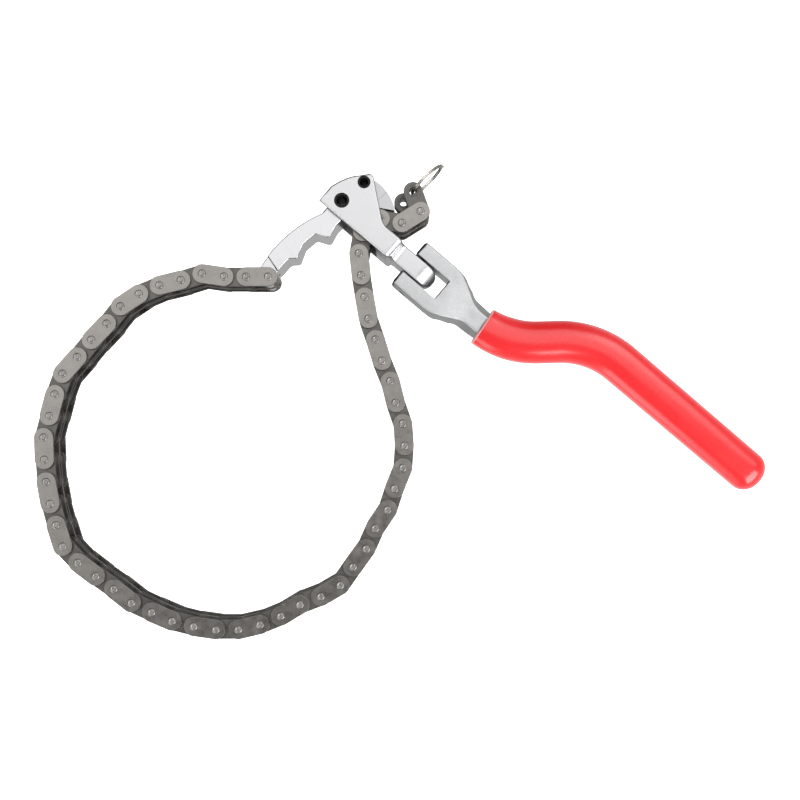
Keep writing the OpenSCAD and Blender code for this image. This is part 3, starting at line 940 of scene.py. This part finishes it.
def rivet_profile(z):
    """A riveted pin's head on the plate face at z: a raised ring round a flat-bottomed dimple."""
    return [(1.72, z - 0.1), (1.74, z + 0.10), (1.62, z + 0.36), (1.42, z + 0.52), (1.20, z + 0.55),
            (0.98, z + 0.50), (0.84, z + 0.36), (0.78, z + 0.34), (0.3, z + 0.34)]


def add_pin(bm, x, whole=True):
    """A chain pin with a riveted head at each end. The anchor pin has only its two heads here."""
    z = OUTER_Z + OUTER_T
    head = rivet_profile(z)
    if whole:
        lower = [(r, -h) for r, h in reversed(head)]
        add_turned(bm, x, lower + [(CHAIN_PIN_R, -z), (CHAIN_PIN_R, z)] + head)
        return
    for side in (1, -1):
        add_turned(bm, x, [(CHAIN_PIN_R, side * OUTER_Z)] + [(r, side * h) for r, h in head])


def add_tube(bm, x, r_out, r_in, low, high, material):
    """A bush or a roller, with chamfered ends."""
    edge = 0.12
    profile = [(r_in, low + edge), (r_in + edge, low), (r_out - edge, low), (r_out, low + edge),
               (r_out, high - edge), (r_out - edge, high), (r_in + edge, high), (r_in, high - edge)]
    rings = [[(x + r * math.cos(a), r * math.sin(a), z) for r, z in profile] for a in TURNS]
    add_loft(bm, rings, material, closed=True)


def outer_link_mesh(name, whole_last_pin=True):
    """Two outer plates, a centre plate and two pins. The centre plate is open round a pin it doesn't hold."""
    bm = bmesh.new()
    for low, thickness in ((OUTER_Z, OUTER_T), (-OUTER_Z - OUTER_T, OUTER_T), (-CENTRE_T / 2, CENTRE_T)):
        if whole_last_pin or thickness == OUTER_T:
            add_plate(bm, low, thickness)
        else:
            add_plate(bm, low, thickness, CHAIN_PIN_R + 0.02)
    add_pin(bm, 0)
    add_pin(bm, PITCH, whole_last_pin)
    mesh = mesh_from(name, bm, [OUTER_PLATE, RIVET, SHADED_EDGE_STEEL])
    shade(mesh, 42)
    return mesh


def add_inner_strand(bm, middle):
    """Two plates, two bushes and two rollers, at that height."""
    low = middle - INNER_HALF_W
    high = middle + INNER_HALF_W
    add_plate(bm, low - INNER_T, INNER_T, BUSH_R)
    add_plate(bm, high, INNER_T, BUSH_R)
    for x in (0, PITCH):
        add_tube(bm, x, BUSH_R + 0.01, CHAIN_PIN_R + RUNNING, low - INNER_T, high + INNER_T, FACE)
        add_tube(bm, x, ROLLER_R, BUSH_R + 0.08, low + 0.1, high - 0.1, SHINE)


def inner_link_mesh(name, strands):
    """An inner link with one strand at each of those heights."""
    bm = bmesh.new()
    for middle in strands:
        add_inner_strand(bm, middle)
    mesh = mesh_from(name, bm, [INNER_PLATE, ROLLER, SHADED_EDGE_STEEL])
    shade(mesh, 42)
    return mesh


def link_place(start, end):
    """The place of a link whose pins are at two points."""
    heading = math.atan2(end.y - start.y, end.x - start.x)
    return Matrix.Translation(start * MM) @ Matrix.Rotation(heading, 4, "Z")


def make_chain():
    """Every link between two pins of the chain: odd ones outer, even ones inner."""
    outer = outer_link_mesh("outer_link")
    anchor = outer_link_mesh("anchor_link", whole_last_pin=False)
    inner = inner_link_mesh("inner_link", (-STRAND_Z, STRAND_Z))
    for n in range(1, LAST_LINK + 1):
        place = link_place(PINS[n + 1], PINS[n])
        odd = n % 2 == 1
        cad_name = f"{'outer' if odd else 'inner'}_link_{n:02d}"
        body, node = ("head", "chain_in_head") if n in HEAD_LINKS else (cad_name, cad_name)
        mesh = (anchor if n == 1 else outer if odd else inner).copy()
        mesh.transform(place)
        show(f"chain_{cad_name}", mesh, body, node)


def end_link_place(node, middle):
    """An end link's place: from its joint towards the far end of its CAD node."""
    low, high = [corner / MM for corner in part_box(node)]
    pin = PINS[54]
    far_x = low.x + PLATE_R if pin.x - low.x > high.x - pin.x else high.x - PLATE_R
    far_y = low.y + PLATE_R if pin.y - low.y > high.y - pin.y else high.y - PLATE_R
    far = Vector((far_x, far_y, pin.z))
    return link_place(pin, far), far + Vector((0, 0, middle))


def make_end_links():
    """The two single links at the free end. Returns the upper one's far eye, where the ring hangs."""
    upper, eye = end_link_place("end_link_upper", STRAND_Z)
    lower, _ = end_link_place("end_link_lower", -STRAND_Z)
    for name, place, middle in (("end_link_upper", upper, STRAND_Z), ("end_link_lower", lower, -STRAND_Z)):
        mesh = inner_link_mesh(name, (middle,))
        mesh.transform(place)
        show(f"chain_{name}", mesh, name, name)
    return eye


RING_R = 9.0
RING_TURNS = 2
WIRE_R = 0.35
WIRE_SIDES = 12
RING_LIE = 43
RING_LEAN = 3


def make_split_ring(eye):
    """Two turns of wire through the upper end link, standing nearly upright."""
    out = along(RING_LIE)
    lean = math.radians(RING_LEAN)
    upright = Vector((0, 0, math.cos(lean))) + along(RING_LIE + 90) * math.sin(lean)
    across = upright.cross(out)
    centre = eye + (RING_R - 0.5) * out
    steps = 96
    pitch = 2 * WIRE_R + 0.04
    rings = []
    for i in range(RING_TURNS * steps + 1):
        a = 2 * math.pi * i / steps
        radial = out * math.cos(a) + upright * math.sin(a)
        lead = pitch * (i / steps - RING_TURNS / 2)
        ring = []
        for k in range(WIRE_SIDES):
            b = 2 * math.pi * k / WIRE_SIDES
            r = RING_R + WIRE_R * math.cos(b)
            ring.append(centre + radial * r + across * (lead + WIRE_R * math.sin(b)))
        rings.append(ring)
    bm = bmesh.new()
    add_loft(bm, rings)
    mesh = mesh_from("split_ring_wire", bm, [WIRE])
    shade(mesh, 60)
    show("split_ring_wire", mesh, "split_ring", "split_ring", weighted=False)


# ---------------------------------------------------------------- stage, lights and camera

CAMERA_AT = Vector((23.2, -106.9, 566.0)) * MM
CAMERA_AIM = Vector((25.0, -85.5, 27.0)) * MM
CAMERA_LENS = 56.66
FLOOR_Z = -0.2
FLOOR_HALF = 4  # metres


def make_floor():
    """A white floor that shines enough to hide the shadows."""
    material, _, shader = new_material("floor_white")
    for socket, value in (
        ("Base Color", (0.4, 0.4, 0.4, 1)), ("Roughness", 0.9), ("Specular IOR Level", 0.1),
        ("Emission Color", (1, 1, 1, 1)), ("Emission Strength", 1.7),
    ):
        shader.inputs[socket].default_value = value
    bm = bmesh.new()
    bmesh.ops.create_grid(bm, x_segments=1, y_segments=1, size=FLOOR_HALF)
    floor = bpy.data.objects.new("floor", mesh_from("floor", bm, [material]))
    floor.location.z = FLOOR_Z * MM
    # the metal reflects the world below the horizon in its place, so that its walls stay grey
    floor.visible_glossy = False
    bpy.context.scene.collection.objects.link(floor)


# each light's name, place in metres, side in metres and radiance
LIGHTS = [
    ("overhead", (0.14, 0.38, 1.1), 1.0, 1.1),
    ("overhead_left", (-0.76, 0.05, 1.1), 0.8, 1.5),
    ("key", (0.68, -0.70, 0.70), 0.8, 4.5),
    ("window", (1.0, 0.80, 1.1), 0.7, 1.1),
    ("overhead_right", (0.78, 0.34, 1.1), 0.6, 1.3),
    ("low_panel", (-0.75, -0.90, 0.32), 1.0, 1.8),
]
LIGHTS_AIM = Vector((0.02, -0.08, 0.02))
HORIZON = [(0, grey(0.52)), (0.2, grey(0.45)), (0.5, grey(0.30)), (1, grey(0.25))]
FLAG_SIDE = (-0.76, 0.65, 0)


def make_lights():
    """Square softboxes, all aimed at the same place."""
    for name, at, size, radiance in LIGHTS:
        data = bpy.data.lights.new(name, "AREA")
        data.shape = "SQUARE"
        data.size = size
        data.energy = radiance * math.pi * size * size
        lamp = bpy.data.objects.new(name, data)
        bpy.context.scene.collection.objects.link(lamp)
        lamp.location = at
        lamp.rotation_euler = (LIGHTS_AIM - Vector(at)).to_track_quat("-Z", "Y").to_euler()


def make_world():
    """A grey studio, a little lighter below the horizon."""
    world = bpy.data.worlds.new("studio")
    world.use_nodes = True
    tree = world.node_tree
    coords = tree.nodes.new("ShaderNodeTexCoord")
    split = tree.nodes.new("ShaderNodeSeparateXYZ")
    height = tree.nodes.new("ShaderNodeMapRange")
    height.inputs["From Min"].default_value = -1
    link_nodes(tree, coords, "Generated", split, "Vector")
    link_nodes(tree, split, "Z", height, "Value")
    sky = ramp(tree, height, HORIZON, "Result")
    # a black flag stands behind the head, so that the edges facing it are drawn dark
    side = tree.nodes.new("ShaderNodeVectorMath")
    side.operation = "DOT_PRODUCT"
    side.inputs[1].default_value = FLAG_SIDE
    link_nodes(tree, coords, "Generated", side, 0)
    flag = ramp(tree, side, [(0.25, grey(1)), (0.5, grey(0.05))], "Value")
    background = tree.nodes["Background"]
    link_nodes(tree, mixed(tree, sky, flag, "MULTIPLY"), "Result", background, "Color")
    background.inputs["Strength"].default_value = 1
    bpy.context.scene.world = world


def make_camera():
    """The camera over the tool, its upper side towards +Y."""
    data = bpy.data.cameras.new("camera")
    data.lens = CAMERA_LENS
    data.sensor_width = 36
    data.clip_start = 0.01
    camera = bpy.data.objects.new("camera", data)
    bpy.context.scene.collection.objects.link(camera)
    back = (CAMERA_AT - CAMERA_AIM).normalized()
    right = Vector((0, 1, 0)).cross(back).normalized()
    turn = Matrix((right, back.cross(right), back)).transposed()
    camera.matrix_world = Matrix.Translation(CAMERA_AT) @ turn.to_4x4()
    bpy.context.scene.camera = camera


make_arm()
make_pins()
make_jaw()
make_pawl()
make_handle()
make_grip()
make_chain()
make_split_ring(make_end_links())
make_floor()
make_world()
make_lights()
make_camera()
bpy.context.scene.view_settings.view_transform = "Standard"
